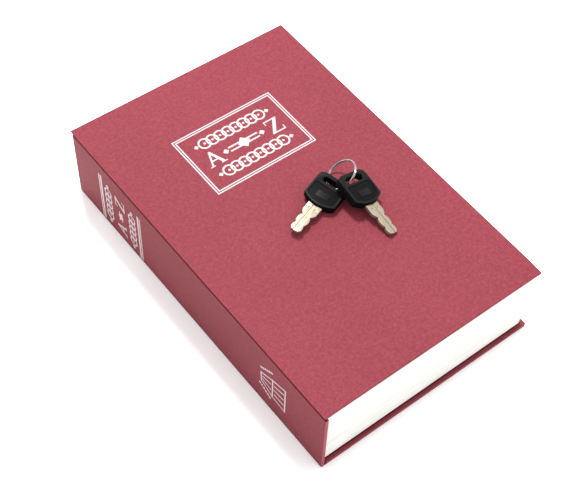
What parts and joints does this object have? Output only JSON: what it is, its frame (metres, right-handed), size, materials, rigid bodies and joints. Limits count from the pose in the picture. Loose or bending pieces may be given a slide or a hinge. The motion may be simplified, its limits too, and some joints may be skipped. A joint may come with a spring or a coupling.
{
  "type": "book safe",
  "caption": "Hollow dictionary-shaped book safe: hinged cloth cover over a moulded page block holding a steel cash tray with a hinged, cam-locked lid; its keys lie on the cover.",
  "frame": {"origin": "middle of the footprint, on the underside of the back cover", "axes": "+X from spine to fore-edge, +Y from tail to head, +Z from back cover to front cover"},
  "size_m": [0.155, 0.24, 0.0696],
  "materials": {
    "cover_cloth": "dusty-red book covering, printed with a fine mottled grain, satin",
    "greyboard": "dense grey board",
    "endpaper": "uncoated off-white paper",
    "foil": "pale blocking foil, soft sheen",
    "page_plastic": "white moulding ribbed like page edges",
    "black_steel": "black powder coat, fine orange peel",
    "zinc_steel": "bright zinc plate",
    "rivet_steel": "plain steel",
    "lock_chrome": "bright chrome over die-cast zinc",
    "plug_brass": "turned brass, nickel-flashed face",
    "wafer_brass": "stamped brass",
    "spring_steel": "spring wire",
    "ring_chrome": "nickel-plated spring steel",
    "grip_plastic": "black injection moulding",
    "blade_nickel": "nickel-plated, slightly warm"
  },
  "bodies": {
    "case": {"spine_board": "greyboard", "back_board": "greyboard", "rear_cloth": "cover_cloth", "back_endpaper": "endpaper", "spine_foil": "foil", "joint_strip": "cover_cloth", "page_block": "page_plastic", "tray_rails": "page_plastic", "cash_tray": "black_steel", "tray_screws": "zinc_steel", "strike_bracket": "zinc_steel", "strike_rivets": "rivet_steel", "hinge_leaf_tray": "zinc_steel", "hinge_pin": "rivet_steel", "tray_rivets": "rivet_steel"},
    "front_cover": {"front_board": "greyboard", "front_cloth": "cover_cloth", "front_endpaper": "endpaper", "title_foil": "foil"},
    "lid": {"lid": "black_steel", "hinge_leaf_lid": "zinc_steel", "lid_rivets": "rivet_steel", "lock_housing": "lock_chrome", "lock_nut": "zinc_steel"},
    "lock_barrel": {"lock_plug": "plug_brass", "lock_cam": "zinc_steel", "cam_washer": "rivet_steel", "cam_screw": "rivet_steel", "wafer_springs": "spring_steel"},
    "wafers": {"lock_wafers": "wafer_brass"},
    "ring": {"key_ring": "ring_chrome"},
    "key_a": {"key_a_grip": "grip_plastic", "key_a_blade": "blade_nickel"},
    "key_b": {"key_b_grip": "grip_plastic", "key_b_blade": "blade_nickel"}
  },
  "joints": [
    {"name": "cover_hinge", "type": "hinge", "parent": "case", "child": "front_cover", "pos_m": [-0.0775, 0, 0.0529], "axis": [0, -1, 0], "range_deg": [0, 180], "deforming": ["joint_strip"]},
    {"name": "lid_hinge", "type": "hinge", "parent": "case", "child": "lid", "pos_m": [-0.0601, 0, 0.0444], "axis": [0, -1, 0], "range_deg": [0, 99]},
    {"name": "lock_turn", "type": "hinge", "parent": "lid", "child": "lock_barrel", "pos_m": [0.034, 0, 0.04], "axis": [0, 0, 1], "range_deg": [-90, 0]},
    {"name": "wafer_slide", "type": "slide", "parent": "lock_barrel", "child": "wafers", "axis": [1, 0, 0], "range_m": [0, 0.0005], "deforming": ["wafer_springs"]},
    {"name": "keys_lift", "type": "slide", "parent": "front_cover", "child": "ring", "axis": [0, 0, 1], "range_m": [0, 0.1]},
    {"name": "key_a_swing", "type": "hinge", "parent": "ring", "child": "key_a", "pos_m": [0.0267, -0.0035, 0.06194], "axis": [-0.4819, 0.3875, 0.7859], "range_deg": [0, 8]},
    {"name": "key_b_swing", "type": "hinge", "parent": "ring", "child": "key_b", "pos_m": [0.0267, -0.0035, 0.06194], "axis": [-0.4819, 0.3875, 0.7859], "range_deg": [0, 70]}
  ],
  "couplings": [
    {"joint": "lid_hinge", "follows": "cover_hinge", "ratio": 0.55}
  ]
}
